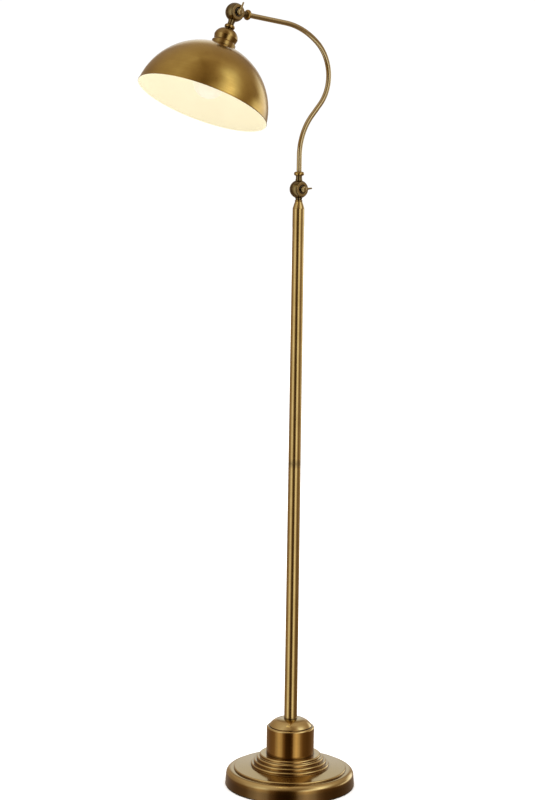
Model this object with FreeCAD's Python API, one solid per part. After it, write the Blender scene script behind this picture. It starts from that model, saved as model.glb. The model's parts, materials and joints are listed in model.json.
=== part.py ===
import FreeCAD, Part
import math
import os

# Pharmacy floor lamp in brass.  Millimetres, +Z up.  The origin is the centre of the foot on the
# floor.  The bent arm lies in the XZ plane and carries the shade towards -X; both knuckles turn
# about axes along Y, and their clamping levers are on the -Y side.

# ---- driving dimensions ------------------------------------------------------------------------
# foot
BASE_RADIUS = 126.0            # at the floor
BASE_WALL_DRAFT = 1.5          # the wall leans in by this much
BASE_WALL_TOP = 21.5
SHOULDER_RADIUS = 11.0
PAD_THICK = 2.0
SHEET = 1.2                    # spun brass sheet of the shell, drum and cap
DISC_RADIUS = 109.2            # raised disc inside the shoulder
DISC_TOP = 36.4
DISC_NOSE = 2.2
TREAD_INNER_Z = 39.0           # the tread slopes up from the disc's edge to the steps
STEP_RADII = (76.0, 70.5, 65.0, 59.0)
STEP_TOPS = (44.5, 51.0, 57.0, 62.5)
STEP_NOSE = 2.2
WEIGHT_RADIUS = 120.0
WEIGHT_TOP = 20.0
WEIGHT_BOSS_RADIUS = 22.0
NUT_RECESS_RADIUS = 18.0
NUT_RECESS_TOP = 12.0
LEAD_CHANNEL = (16.0, 18.0)    # width, and top above the floor
WASHER_THICK = 1.5
NUT_HEIGHT = 5.0
NUT_ACROSS_FLATS = 17.0
GROMMET_Z = 11.0
GROMMET_RADIUS = 5.0
GROMMET_FLANGE = 7.2
GROMMET_BORE = 3.2
GROMMET_LENGTH = 5.2           # inside the flange
GROMMET_FLANGE_THICK = 2.0
GROMMET_LIP = (6.2, 1.6)       # radius and thickness inside the wall

# drum and cap on the foot
DRUM_RADIUS = 46.3
DRUM_WALL_TOP = 113.0
DRUM_LIP = (42.4, 117.2)
CAP_RADIUS = 41.4
CAP_RIM_Z = 118.6
CAP_TOP = 132.3
CAP_SEAT_DEPTH = 2.6           # the cap stands this deep in the drum's lip
DRUM_FLANGE_WIDTH = 8.0        # inward flanges at the drum's two ends
SPACER_RADIUS = 9.0

# pole
POLE_FOOT_RADIUS = 12.7        # the pole tapers slightly from here
POLE_TOP_RADIUS = 11.2
POLE_BORE = 10.0
POLE_SEAM_Z = 634.0
POLE_TOP = 1120.0
INSERT_LENGTH = 20.0
THREAD_RADIUS = 5.0            # M10 x 1 lamp thread
WIRE_BORE = 3.2
WIRE_RADIUS = 2.3
THREAD_CLEAR = 0.2

# ferrule between pole and lower knuckle
FERRULE_TOP = 1133.0
FERRULE_TOP_RADIUS = 7.0
RING_THICK = 3.0
RING_RADIUS = 7.4

# knuckles
BALL_RADIUS = 17.5
LOWER_BALL_Z = 1156.4
SPLIT_GAP = 0.8                # between the two halves of a knuckle
RUN_CLEAR = 0.3
NECK_ROOT_RADIUS = 6.9
NECK_RADIUS = 6.0
NECK_END = 25.0                # from the ball's centre
SOCKET_START = 18.6            # tube or nipple end, outside the other half's sweep
CHAMBER_INNER = 4.6            # wiring chamber round the clamping stud
CHAMBER_OUTER = 12.0
CHAMBER_DEPTH = 8.0
FACET_Y = 11.2                 # flat face on the lever side
FACE_RING = (13.2, 8.8, 0.6)   # outer radius, inner radius, height
FACE_FLOOR_Y = 9.7
LEVER_WASHER_THICK = 1.0
SPRING_WASHER_THICK = 1.2
LEVER_WASHER_RADIUS = 6.8
SPRING_WASHER_RADIUS = 5.6
SPRING_WASHER_Y = FACE_FLOOR_Y + LEVER_WASHER_THICK + RUN_CLEAR
HUB_Y = SPRING_WASHER_Y + SPRING_WASHER_THICK
STUD_RADIUS = 3.0
STUD_FIT = 0.05
STUD_END_Y = 11.0
HUB_RADIUS = 6.0
HUB_HEIGHT = 6.8
LEVER_REACH = 20.3
LEVER_TIP_ROUND = 1.5
LEVER_ROOT_WIDTH = 5.6
LEVER_THICK = 2.2
LOWER_LEVER_ANGLE = 6.0        # from +X towards +Z
UPPER_LEVER_ANGLE = 64.0

# collars screwed against the necks
COLLAR_RADIUS = 9.7
COLLAR_END = 33.0
COLLAR_LIP = 0.6               # how far its two ends stand out from the neck

# bent arm: straight, bend back, straight, tight bend forward, wide bend, straight
ARM_RADIUS = 4.8
ARM_WALL = 0.9
ARM_FIRST_BEND_Z = 1219.0
ARM_BEND_RADII = (114.0, 80.0, 143.0)
ARM_HEADINGS = (90.0, 48.5, 140.0, 174.0)
ARM_MIDDLE_RUN = 29.0
ARM_LAST_RUN = 118.0           # to the upper ball's centre

# head, measured along the shade's axis from the upper ball's centre
SHADE_TILT = 23.2              # of the axis from the vertical, towards -X
CUP_TOP = 33.5
CUP_RADIUS = 22.2
CUP_WIDEST = 49.8
CUP_WAIST = (20.0, 58.5)
CUP_SKIRT_RADIUS = 22.4
CUP_SKIRT = (60.5, 69.2)
DOME_RADIUS = 123.0
DOME_APEX = 67.9
DOME_DEPTH = 111.8
DOME_SHEET = 1.0
DOME_HOLE_RADIUS = 19.3
RIM_ROLL = 1.3
HOLDER_RADIUS = 18.5
HOLDER_TOP = 46.0
HOLDER_MOUTH = 96.0
HOLDER_CAP_DEPTH = 12.0
TERMINAL_RADIUS = 2.2
TERMINAL_OFFSET = 8.0
SHADE_RING_RADIUS = 24.0
LAMP_CAP_RADIUS = 13.2         # E27 screw cap
LAMP_CAP_END = 92.0
LAMP_CONTACT = 65.0
BULB_RADIUS = 30.0
BULB_CAP_LAP = 1.2             # the glass ends this far inside the cap's mouth
GLASS_THICK = 0.8
BULB_END = 169.0

# swing that turns a downward neck to point back along the arm
TOWARDS_ARM = ARM_HEADINGS[3] - 258.0

X = FreeCAD.Vector(1, 0, 0)
Y = FreeCAD.Vector(0, 1, 0)
Z = FreeCAD.Vector(0, 0, 1)
ORIGIN = FreeCAD.Vector(0, 0, 0)
HALF_SPACE = 400.0
LOWER_BALL = FreeCAD.Vector(0, 0, LOWER_BALL_Z)


# ---- general shapes ----------------------------------------------------------------------------
def turned(start, *steps):
    """Solid turned about Z from a closed (radius, height) outline.

    A step is a corner (radius, height), or an arc ((radius, height) on it, (radius, height) end).
    """
    def at(point):
        return FreeCAD.Vector(point[0], 0, point[1])

    edges = []
    here = start
    for step in steps + (start,):
        is_arc = isinstance(step[0], tuple)
        end = step[1] if is_arc else step
        if is_arc:
            edges.append(Part.Arc(at(here), at(step[0]), at(end)).toShape())
        elif at(end).distanceToPoint(at(here)) > 1e-6:
            edges.append(Part.LineSegment(at(here), at(end)).toShape())
        here = end
    face = Part.Face(Part.Wire(edges))
    return Part.Solid(face.revolve(ORIGIN, Z, 360))


def quarter(radius, height, size):
    """Arc step that rounds an outer top corner (radius, height) by size, going inwards."""
    middle = size * (1 - math.sqrt(0.5))
    return ((radius - middle, height - middle), (radius - size, height))


def tube(outer, inner, low, high):
    """Upright round tube, or a rod where inner is 0."""
    solid = Part.makeCylinder(outer, high - low, FreeCAD.Vector(0, 0, low))
    if inner > 0:
        solid = solid.cut(Part.makeCylinder(inner, high - low, FreeCAD.Vector(0, 0, low)))
    return solid


def across(outer, inner, low, high):
    """The same tube lying along Y, from y = low to y = high."""
    solid = tube(outer, inner, low, high)
    solid.rotate(ORIGIN, X, -90)
    return solid


def hexagon(across_flats, low, high, bore):
    """Hexagonal nut standing on Z."""
    corner = across_flats / math.sqrt(3)
    points = [FreeCAD.Vector(corner * math.cos(math.radians(60 * k)),
                             corner * math.sin(math.radians(60 * k)), low) for k in range(7)]
    prism = Part.Face(Part.makePolygon(points)).extrude(FreeCAD.Vector(0, 0, high - low))
    return prism.cut(Part.makeCylinder(bore, high - low, FreeCAD.Vector(0, 0, low)))


def beyond(y, sign):
    """Everything on the sign side of the plane at y."""
    low = y if sign > 0 else y - HALF_SPACE
    corner = FreeCAD.Vector(-HALF_SPACE / 2, low, -HALF_SPACE / 2)
    return Part.makeBox(HALF_SPACE, HALF_SPACE, HALF_SPACE, corner)


def swung(shape, centre, angle):
    """Turn a shape about Y through the origin, then carry the origin to centre."""
    placed = shape.copy()
    placed.rotate(ORIGIN, Y, angle)
    placed.translate(centre)
    return placed


# ---- the arm's centre line ---------------------------------------------------------------------
def arm_path(start_z):
    """Edges of the arm's centre line, and the centre of the upper ball beyond its end."""
    edges = []
    here = FreeCAD.Vector(0, 0, start_z)

    def run(length, heading):
        turn = math.radians(heading)
        end = here + FreeCAD.Vector(math.cos(turn), 0, math.sin(turn)) * length
        edges.append(Part.LineSegment(here, end).toShape())
        return end

    def bend(radius, before, after):
        side = 1 if after > before else -1

        def point(heading):
            turn = math.radians(heading)
            across_path = FreeCAD.Vector(math.sin(turn), 0, -math.cos(turn))
            return centre + across_path * (radius * side)

        turn = math.radians(before)
        centre = here - FreeCAD.Vector(math.sin(turn), 0, -math.cos(turn)) * (radius * side)
        edges.append(Part.Arc(here, point((before + after) / 2), point(after)).toShape())
        return point(after)

    here = run(ARM_FIRST_BEND_Z - start_z, ARM_HEADINGS[0])
    here = bend(ARM_BEND_RADII[0], ARM_HEADINGS[0], ARM_HEADINGS[1])
    here = run(ARM_MIDDLE_RUN, ARM_HEADINGS[1])
    here = bend(ARM_BEND_RADII[1], ARM_HEADINGS[1], ARM_HEADINGS[2])
    here = bend(ARM_BEND_RADII[2], ARM_HEADINGS[2], ARM_HEADINGS[3])
    turn = math.radians(ARM_HEADINGS[3])
    ball = here + FreeCAD.Vector(math.cos(turn), 0, math.sin(turn)) * ARM_LAST_RUN
    run(ARM_LAST_RUN - SOCKET_START, ARM_HEADINGS[3])
    return edges, ball


ARM_START_Z = LOWER_BALL_Z + SOCKET_START
ARM_EDGES, UPPER_BALL = arm_path(ARM_START_Z)


def along_arm(radius):
    """Solid round bar that follows the arm's centre line."""
    wire = Part.Wire(ARM_EDGES)
    circle = Part.Wire(Part.makeCircle(radius, FreeCAD.Vector(0, 0, ARM_START_Z), Z))
    return wire.makePipeShell([circle], True, True)


# ---- foot --------------------------------------------------------------------------------------
def base_shell():
    """Spun cover: outer wall, round shoulder, raised disc with a sloping tread, and four steps."""
    wall_top_radius = BASE_RADIUS - BASE_WALL_DRAFT
    shoulder_top = BASE_WALL_TOP + SHOULDER_RADIUS
    shoulder_in = wall_top_radius - SHOULDER_RADIUS
    round_mid = SHOULDER_RADIUS * math.sqrt(0.5)
    outline = [(BASE_RADIUS, PAD_THICK),
               (wall_top_radius, BASE_WALL_TOP),
               ((shoulder_in + round_mid, BASE_WALL_TOP + round_mid), (shoulder_in, shoulder_top)),
               (DISC_RADIUS, shoulder_top),
               (DISC_RADIUS, DISC_TOP - DISC_NOSE),
               quarter(DISC_RADIUS, DISC_TOP, DISC_NOSE),
               (STEP_RADII[0], TREAD_INNER_Z)]
    for radius, top in zip(STEP_RADII, STEP_TOPS):
        if radius != STEP_RADII[0]:
            outline.append((radius, outline[-1][1][1]))
        outline.append((radius, top - STEP_NOSE))
        outline.append(quarter(radius, top, STEP_NOSE))
    hole = THREAD_RADIUS + THREAD_CLEAR
    outline.append((hole, STEP_TOPS[-1]))
    # underside, one sheet thickness inside
    inside = STEP_TOPS[-1] - SHEET
    outline.append((hole, inside))
    floors = (TREAD_INNER_Z,) + STEP_TOPS[:-1]
    corner_sheet = SHEET + 0.3
    for radius, floor in reversed(list(zip(STEP_RADII, floors))):
        outline.append((radius - corner_sheet, inside))
        inside = floor - corner_sheet
        outline.append((radius - corner_sheet, inside))
    outline.append((DISC_RADIUS - DISC_NOSE, shoulder_top - corner_sheet))
    outline.append((shoulder_in, shoulder_top - corner_sheet))
    inner_mid = round_mid - corner_sheet
    outline.append(((shoulder_in + inner_mid, BASE_WALL_TOP + inner_mid),
                    (wall_top_radius - corner_sheet, BASE_WALL_TOP)))
    outline.append((BASE_RADIUS - SHEET, PAD_THICK))
    return turned(*outline).cut(grommet_hole(GROMMET_RADIUS))


def grommet_hole(radius):
    """Bar along +X at the back of the foot, where the mains lead leaves."""
    reach = 12.0
    start = FreeCAD.Vector(BASE_RADIUS - reach, 0, GROMMET_Z)
    return Part.makeCylinder(radius, 2 * reach, start, X)


def cord_grommet():
    """Flanged bush in the shell's wall."""
    outside = FreeCAD.Vector(BASE_RADIUS - 0.4, 0, GROMMET_Z)
    inside = outside - X * (SHEET + 3.0)
    sleeve = Part.makeCylinder(GROMMET_RADIUS, GROMMET_LENGTH, inside, X)
    flange = Part.makeCylinder(GROMMET_FLANGE, GROMMET_FLANGE_THICK, outside, X)
    lip = Part.makeCylinder(GROMMET_LIP[0], GROMMET_LIP[1], inside, X)
    bush = sleeve.fuse(flange).fuse(lip).cut(grommet_hole(GROMMET_BORE))
    return bush.cut(base_shell()).removeSplitter()


def base_weight():
    """Cast-iron disc with a boss, a recess for the nut and a channel for the lead."""
    boss_top = STEP_TOPS[-1] - SHEET
    body = turned((0, PAD_THICK), (WEIGHT_RADIUS, PAD_THICK), (WEIGHT_RADIUS, WEIGHT_TOP - 3),
                  (WEIGHT_RADIUS - 3, WEIGHT_TOP), (WEIGHT_BOSS_RADIUS + 4, WEIGHT_TOP),
                  (WEIGHT_BOSS_RADIUS, WEIGHT_TOP + 4), (WEIGHT_BOSS_RADIUS - 3, boss_top),
                  (0, boss_top))
    recess = tube(NUT_RECESS_RADIUS, 0, PAD_THICK, NUT_RECESS_TOP)
    bore = tube(THREAD_RADIUS + THREAD_CLEAR, 0, PAD_THICK, boss_top)
    width, top = LEAD_CHANNEL
    channel = Part.makeBox(WEIGHT_RADIUS, width, top - PAD_THICK,
                           FreeCAD.Vector(0, -width / 2, PAD_THICK))
    outer_channel = channel.cut(tube(NUT_RECESS_RADIUS, 0, PAD_THICK, top))
    return body.cut(recess).cut(bore).cut(outer_channel)


def base_pad():
    """Felt disc glued under the weight."""
    return tube(BASE_RADIUS - SHEET, 0, 0, PAD_THICK)


def base_washer():
    low = NUT_RECESS_TOP - WASHER_THICK
    return tube(NUT_RECESS_RADIUS - 3, THREAD_RADIUS + THREAD_CLEAR, low, NUT_RECESS_TOP)


def base_lock_nut():
    top = NUT_RECESS_TOP - WASHER_THICK
    return hexagon(NUT_ACROSS_FLATS, top - NUT_HEIGHT, top, THREAD_RADIUS)


def base_nipple():
    """Threaded tube that pulls foot, drum, cap and pole together."""
    return tube(THREAD_RADIUS, WIRE_BORE, PAD_THICK + 2, CAP_TOP + INSERT_LENGTH - 2)


def collar_drum():
    """Spun drum with an inward lip at the top and a flange at the foot."""
    low = STEP_TOPS[-1]
    middle = (DRUM_RADIUS - 1.0, (DRUM_WALL_TOP + DRUM_LIP[1]) / 2 + 0.9)
    inner_middle = (middle[0] - 0.9, middle[1] - 0.9)
    flange_in = CAP_RADIUS - DRUM_FLANGE_WIDTH
    cap_seat = CAP_RIM_Z - CAP_SEAT_DEPTH
    return turned((DRUM_RADIUS, low), (DRUM_RADIUS, DRUM_WALL_TOP), (middle, DRUM_LIP),
                  (DRUM_LIP[0], cap_seat), (flange_in, cap_seat), (flange_in, cap_seat - SHEET),
                  (DRUM_LIP[0], cap_seat - SHEET),
                  (inner_middle, (DRUM_RADIUS - SHEET, DRUM_WALL_TOP - 1)),
                  (DRUM_RADIUS - SHEET, low + SHEET), (flange_in, low + SHEET), (flange_in, low))


def collar_cap():
    """Domed cap between drum and pole."""
    seat = CAP_RIM_Z - CAP_SEAT_DEPTH
    crown = POLE_FOOT_RADIUS + 1.0
    hole = THREAD_RADIUS + THREAD_CLEAR
    through = (CAP_RADIUS * 0.76, CAP_TOP - 4.2)
    inner_through = (through[0] - 0.6, through[1] - SHEET - 0.2)
    return turned((CAP_RADIUS, seat), (CAP_RADIUS, CAP_RIM_Z), (through, (crown, CAP_TOP)),
                  (hole, CAP_TOP), (hole, CAP_TOP - SHEET), (crown, CAP_TOP - SHEET),
                  (inner_through, (CAP_RADIUS - SHEET, CAP_RIM_Z)), (CAP_RADIUS - SHEET, seat))


def collar_spacer():
    """Tube inside the drum that takes the nut's load off the spun sheet."""
    return tube(SPACER_RADIUS, THREAD_RADIUS + THREAD_CLEAR, STEP_TOPS[-1], CAP_TOP - SHEET)


# ---- pole --------------------------------------------------------------------------------------
def pole_radius(z):
    share = (z - CAP_TOP) / (POLE_TOP - CAP_TOP)
    return POLE_FOOT_RADIUS + (POLE_TOP_RADIUS - POLE_FOOT_RADIUS) * share


def pole_section(low, high):
    outside = turned((0, low), (pole_radius(low), low), (pole_radius(high), high), (0, high))
    return outside.cut(tube(POLE_BORE, 0, low, high))


def pole_inserts():
    """Four identical threaded plugs, two in each pole section."""
    starts = (CAP_TOP, POLE_SEAM_Z - INSERT_LENGTH, POLE_SEAM_Z, POLE_TOP - INSERT_LENGTH)
    return Part.makeCompound([tube(POLE_BORE, THREAD_RADIUS, z, z + INSERT_LENGTH) for z in starts])


def pole_coupling_nipple():
    reach = INSERT_LENGTH - 2
    return tube(THREAD_RADIUS, WIRE_BORE, POLE_SEAM_Z - reach, POLE_SEAM_Z + reach)


def pole_ferrule():
    """Turned nose that narrows the pole to the knuckle."""
    middle = (POLE_TOP_RADIUS - 1.9, (POLE_TOP + FERRULE_TOP) / 2)
    return turned((THREAD_RADIUS, POLE_TOP), (POLE_TOP_RADIUS, POLE_TOP),
                  (middle, (FERRULE_TOP_RADIUS, FERRULE_TOP)), (THREAD_RADIUS, FERRULE_TOP))


def ferrule_ring():
    """Thin ring with a rounded edge under the knuckle's neck."""
    top = FERRULE_TOP + RING_THICK
    middle = FERRULE_TOP + RING_THICK / 2
    flat = RING_RADIUS - 1
    return turned((THREAD_RADIUS, FERRULE_TOP), (flat, FERRULE_TOP),
                  ((RING_RADIUS, middle), (flat, top)), (THREAD_RADIUS, top))


# ---- knuckles, built round their own centre with the neck pointing down ------------------------
def knuckle_half(side, stub_length=0.0, socket_radius=THREAD_RADIUS):
    """One half of a ball knuckle; side is +1 for the nut half, -1 for the lever half.

    The neck stays centred on the split.  Where it would stand in the other half it is cut back
    by a ball, so that the two halves turn about Y without touching.
    """
    half_gap = SPLIT_GAP / 2
    ball = Part.makeSphere(BALL_RADIUS).common(beyond(side * half_gap, side))
    neck_end = LOWER_BALL_Z - FERRULE_TOP - RING_THICK if stub_length else NECK_END
    neck = turned((0, -10), (0, -neck_end), (NECK_RADIUS, -neck_end), (NECK_RADIUS, -20.3),
                  (NECK_ROOT_RADIUS, -BALL_RADIUS + 1.2), (NECK_ROOT_RADIUS, -10))
    sweep = Part.makeSphere(BALL_RADIUS + RUN_CLEAR).common(beyond(side * half_gap, -side))
    solid = ball.fuse(neck.cut(sweep))
    if side < 0:
        facet = beyond(-FACET_Y, -1)
        outer, inner, height = FACE_RING
        face_ring = across(outer, 0, -FACET_Y - height, -FACET_Y + 0.5)
        face_well = across(inner, 0, -FACET_Y - height, -FACE_FLOOR_Y)
        solid = solid.cut(facet).fuse(face_ring).cut(face_well)
    low, high = sorted((side * half_gap, side * (half_gap + CHAMBER_DEPTH)))
    solid = solid.cut(across(CHAMBER_OUTER, CHAMBER_INNER, low, high))
    hole = across(STUD_RADIUS + STUD_FIT, 0, -BALL_RADIUS, STUD_END_Y + 0.5)
    solid = solid.cut(hole)
    if stub_length:
        solid = solid.fuse(tube(THREAD_RADIUS, 0, -neck_end - stub_length, -neck_end))
    else:
        solid = solid.cut(tube(socket_radius, 0, -NECK_END, -SOCKET_START))
    passage = tube(WIRE_BORE, 0, -neck_end - stub_length, -CHAMBER_OUTER + 1.5)
    passage = passage.cut(Part.makeCylinder(CHAMBER_INNER, 40, FreeCAD.Vector(0, -20, 0), Y))
    return solid.cut(passage).removeSplitter()


def friction_washer():
    """Fibre ring between the halves, resting on the nut half."""
    top = SPLIT_GAP / 2
    return across(BALL_RADIUS - 1.0, CHAMBER_OUTER + 0.6, RUN_CLEAR - top, top)


def lever_washer():
    """Plain washer on the floor of the lever half's face."""
    far_side = -FACE_FLOOR_Y - LEVER_WASHER_THICK
    return across(LEVER_WASHER_RADIUS, STUD_RADIUS + RUN_CLEAR, far_side, -FACE_FLOOR_Y)


def spring_washer():
    """Split washer under the lever's hub."""
    ring = across(SPRING_WASHER_RADIUS, STUD_RADIUS, -HUB_Y, -SPRING_WASHER_Y)
    slit = Part.makeBox(8, 3, 0.8, FreeCAD.Vector(0, -HUB_Y - 0.5, -0.4))
    return ring.cut(slit)


def clamp_lever():
    """Hub, tapered lever towards +X and the stud that screws into the nut half."""
    hub_end = HUB_Y + HUB_HEIGHT
    shoulder = hub_end - HUB_RADIUS / 2
    hub = turned((0, HUB_Y), (HUB_RADIUS, HUB_Y), (HUB_RADIUS, shoulder),
                 ((HUB_RADIUS * 0.86, shoulder + 2.0), (HUB_RADIUS / 2, hub_end)), (0, hub_end))
    hub.rotate(ORIGIN, X, 90)
    stud = across(STUD_RADIUS, 0, -HUB_Y, STUD_END_Y)
    low = -HUB_Y - 3.6
    tip_x = LEVER_REACH - LEVER_TIP_ROUND
    corners = [FreeCAD.Vector(0, low, -LEVER_ROOT_WIDTH / 2), FreeCAD.Vector(0, low, LEVER_ROOT_WIDTH / 2),
               FreeCAD.Vector(tip_x, low, LEVER_TIP_ROUND), FreeCAD.Vector(tip_x, low, -LEVER_TIP_ROUND)]
    blade = Part.Face(Part.makePolygon(corners + corners[:1])).extrude(Y * LEVER_THICK)
    tip = Part.makeCylinder(LEVER_TIP_ROUND, LEVER_THICK, FreeCAD.Vector(tip_x, low, 0), Y)
    return hub.fuse(stud).fuse(blade).fuse(tip).removeSplitter()


def neck_collar(bore):
    """Round bead of a collar at the end of a neck, from NECK_END to COLLAR_END below the ball."""
    end_radius = NECK_RADIUS + COLLAR_LIP
    widest = -(NECK_END + COLLAR_END) / 2
    middle = (COLLAR_RADIUS + end_radius) / 2 + 0.8
    return turned((bore, -NECK_END), (end_radius, -NECK_END),
                  ((middle, widest + 2.4), (COLLAR_RADIUS, widest)),
                  ((middle, widest - 2.4), (end_radius, -COLLAR_END)), (bore, -COLLAR_END))


def at_lower(shape, angle=0.0):
    return swung(shape, LOWER_BALL, angle)


def at_upper(shape, angle=SHADE_TILT):
    return swung(shape, UPPER_BALL, angle)


# ---- arm ---------------------------------------------------------------------------------------
def arm_tube():
    """Bent brass tube between the two knuckles."""
    return along_arm(ARM_RADIUS).cut(along_arm(ARM_RADIUS - ARM_WALL))


# ---- head, built on the upper ball's centre with the shade straight down ------------------------
def socket_cup():
    """Bell-shaped cup over the lampholder, seated on the shade."""
    skirt_low, skirt_high = -CUP_SKIRT[1], -CUP_SKIRT[0]
    hole = THREAD_RADIUS + THREAD_CLEAR
    waist = (CUP_WAIST[0], -CUP_WAIST[1])
    crown_mid = (CUP_RADIUS * 0.78, -CUP_TOP - 5.6)
    belly = ((CUP_RADIUS - 0.9, -CUP_WIDEST - 3.6), waist)
    inner_crown = (crown_mid[0] - 1.0, crown_mid[1] - 1.2)
    seat_inner = HOLDER_RADIUS + 0.3
    return turned((hole, -CUP_TOP), (7.5, -CUP_TOP), (crown_mid, (CUP_RADIUS, -CUP_WIDEST)), belly,
                  (CUP_SKIRT_RADIUS - 0.8, skirt_high), (CUP_SKIRT_RADIUS, skirt_high - 0.8),
                  (CUP_SKIRT_RADIUS, skirt_low + 0.8), (CUP_SKIRT_RADIUS - 0.8, skirt_low),
                  (seat_inner, skirt_low), (seat_inner, -CUP_WAIST[1] + 2.0),
                  (CUP_RADIUS - 1.5, -CUP_WIDEST - 1.0),
                  (CUP_RADIUS - SHEET, -CUP_WIDEST), (inner_crown, (7.5, -CUP_TOP - SHEET)),
                  (hole, -CUP_TOP - SHEET))


def shade_ring():
    """Threaded ring inside the shade that clamps it to the lampholder."""
    top = -(DOME_APEX + DOME_SHEET + 2.5)
    return tube(SHADE_RING_RADIUS, HOLDER_RADIUS, top - 7.0, top)


def shade():
    """Hemispherical spun shade with a rolled rim."""
    centre_z = -(DOME_APEX + DOME_RADIUS)
    rim_z = -(DOME_APEX + DOME_DEPTH)

    def shell_point(radius, height):
        return (math.sqrt(radius ** 2 - (height - centre_z) ** 2), height)

    def hole_point(radius):
        return (DOME_HOLE_RADIUS, centre_z + math.sqrt(radius ** 2 - DOME_HOLE_RADIUS ** 2))

    inner = DOME_RADIUS - DOME_SHEET
    middle_z = -(DOME_APEX + DOME_DEPTH * 0.3)
    bowl = turned(hole_point(DOME_RADIUS),
                  (shell_point(DOME_RADIUS, middle_z), shell_point(DOME_RADIUS, rim_z)),
                  shell_point(inner, rim_z),
                  (shell_point(inner, middle_z), hole_point(inner)))
    rim_radius = shell_point(DOME_RADIUS - DOME_SHEET / 2, rim_z)[0]
    roll = Part.makeTorus(rim_radius, RIM_ROLL, FreeCAD.Vector(0, 0, rim_z))
    return bowl.fuse(roll)


def holder_cap():
    """Domed top of the lampholder, threaded on the nipple."""
    shoulder = HOLDER_RADIUS - 0.6
    low = -HOLDER_TOP - HOLDER_CAP_DEPTH
    return turned((THREAD_RADIUS, -HOLDER_TOP), (8.5, -HOLDER_TOP),
                  ((shoulder - 3.0, -HOLDER_TOP - 2.6), (shoulder, -HOLDER_TOP - 8)), (shoulder, low),
                  (shoulder - 2.2, low), (shoulder - 2.2, -HOLDER_TOP - 8.2), (8.5, -HOLDER_TOP - 5),
                  (THREAD_RADIUS, -HOLDER_TOP - 5))


def holder_sleeve():
    """Threaded skirt of the lampholder, with a shoulder above the shade."""
    top = -HOLDER_TOP - HOLDER_CAP_DEPTH
    shoulder_low = -(DOME_APEX + 1.0)
    inner = LAMP_CAP_RADIUS + 1.4
    return turned((inner, top), (HOLDER_RADIUS - 0.6, top), (HOLDER_RADIUS - 0.6, shoulder_low + 3),
                  (HOLDER_RADIUS, shoulder_low + 3), (HOLDER_RADIUS, -HOLDER_MOUTH),
                  (inner, -HOLDER_MOUTH))


def terminal_places():
    """Feet of the two terminal screws in the ceramic block."""
    z = -HOLDER_TOP - HOLDER_CAP_DEPTH - 3
    return [FreeCAD.Vector(side * TERMINAL_OFFSET, 0, z) for side in (-1, 1)]


def holder_block():
    """Ceramic block that carries the contacts and the terminals."""
    low = -LAMP_CONTACT + 3.0
    block = tube(LAMP_CAP_RADIUS + 1.2, 0, low, -HOLDER_TOP - HOLDER_CAP_DEPTH)
    for centre in terminal_places():
        block = block.cut(Part.makeCylinder(TERMINAL_RADIUS, 3, centre))
    return block


def terminal_screws():
    """Two identical slotted screws on the ceramic block."""
    screws = []
    for centre in terminal_places():
        screw = Part.makeCylinder(TERMINAL_RADIUS, 4.2, centre)
        corner = centre + FreeCAD.Vector(-TERMINAL_RADIUS, -0.4, 3.2)
        screws.append(screw.cut(Part.makeBox(2 * TERMINAL_RADIUS, 0.8, 1.0, corner)))
    return Part.makeCompound(screws)


def screw_shell():
    """Brass thread shell that takes the lamp's cap."""
    return tube(LAMP_CAP_RADIUS + 1.2, LAMP_CAP_RADIUS, -LAMP_CAP_END + 1.5, -LAMP_CONTACT - 2.5)


def centre_contact():
    """Spring tongue under the ceramic block."""
    tongue = Part.makeBox(14, 5, 0.6, FreeCAD.Vector(-7, -2.5, -LAMP_CONTACT + 2.4))
    pad = Part.makeCylinder(2.4, 2.4, FreeCAD.Vector(0, 0, -LAMP_CONTACT))
    return tongue.fuse(pad).removeSplitter()


def bulb_body(inset):
    """Pear shape of the lamp, or the same shape inset by the glass thickness."""
    centre_z = -BULB_END + BULB_RADIUS
    radius = BULB_RADIUS - inset
    neck = (LAMP_CAP_RADIUS - 0.6 - inset, -LAMP_CAP_END + BULB_CAP_LAP)

    def round_point(degrees):
        turn = math.radians(degrees)
        return (radius * math.cos(turn), centre_z + radius * math.sin(turn))

    shoulder = round_point(38)
    flank = ((shoulder[0] + neck[0]) / 2 - 1.6, (shoulder[1] + neck[1]) / 2)
    return turned(round_point(-90), (round_point(-40), round_point(0)), (round_point(20), shoulder),
                  (flank, neck), (0, neck[1]))


def bulb_glass():
    """Hollow glass envelope, open at the neck."""
    return bulb_body(0).cut(bulb_body(GLASS_THICK))


def bulb_screw_cap():
    """Hollow threaded cap of the lamp."""
    low = -LAMP_CAP_END + BULB_CAP_LAP
    top = -LAMP_CONTACT - 1.2
    inner = LAMP_CAP_RADIUS - 0.6
    return turned((inner, low), (LAMP_CAP_RADIUS, low), (LAMP_CAP_RADIUS, top - 2.8), (9.0, top),
                  (0, top), (0, top - 0.6), (8.6, top - 0.6), (inner, top - 3.1))


def bulb_contact():
    """Solder contact of the lamp."""
    return turned((0, -LAMP_CONTACT - 1.2), (4.6, -LAMP_CONTACT - 1.2), (3.4, -LAMP_CONTACT),
                  (0, -LAMP_CONTACT))


def head_nipple():
    """Threaded tube from the neck through collar and cup into the lampholder."""
    return tube(THREAD_RADIUS, WIRE_BORE, -HOLDER_TOP - 5, -SOCKET_START)


# ---- wiring inside the tubes -------------------------------------------------------------------
def pole_wire():
    return tube(WIRE_RADIUS, 0, PAD_THICK + 4, LOWER_BALL_Z - SOCKET_START)


def arm_wire():
    return along_arm(WIRE_RADIUS)


def head_wire():
    return tube(WIRE_RADIUS, 0, -HOLDER_TOP - 10, -SOCKET_START)


# ---- assembly ----------------------------------------------------------------------------------
STUB_LENGTH = FERRULE_TOP - POLE_TOP + RING_THICK + INSERT_LENGTH - 4

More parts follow.
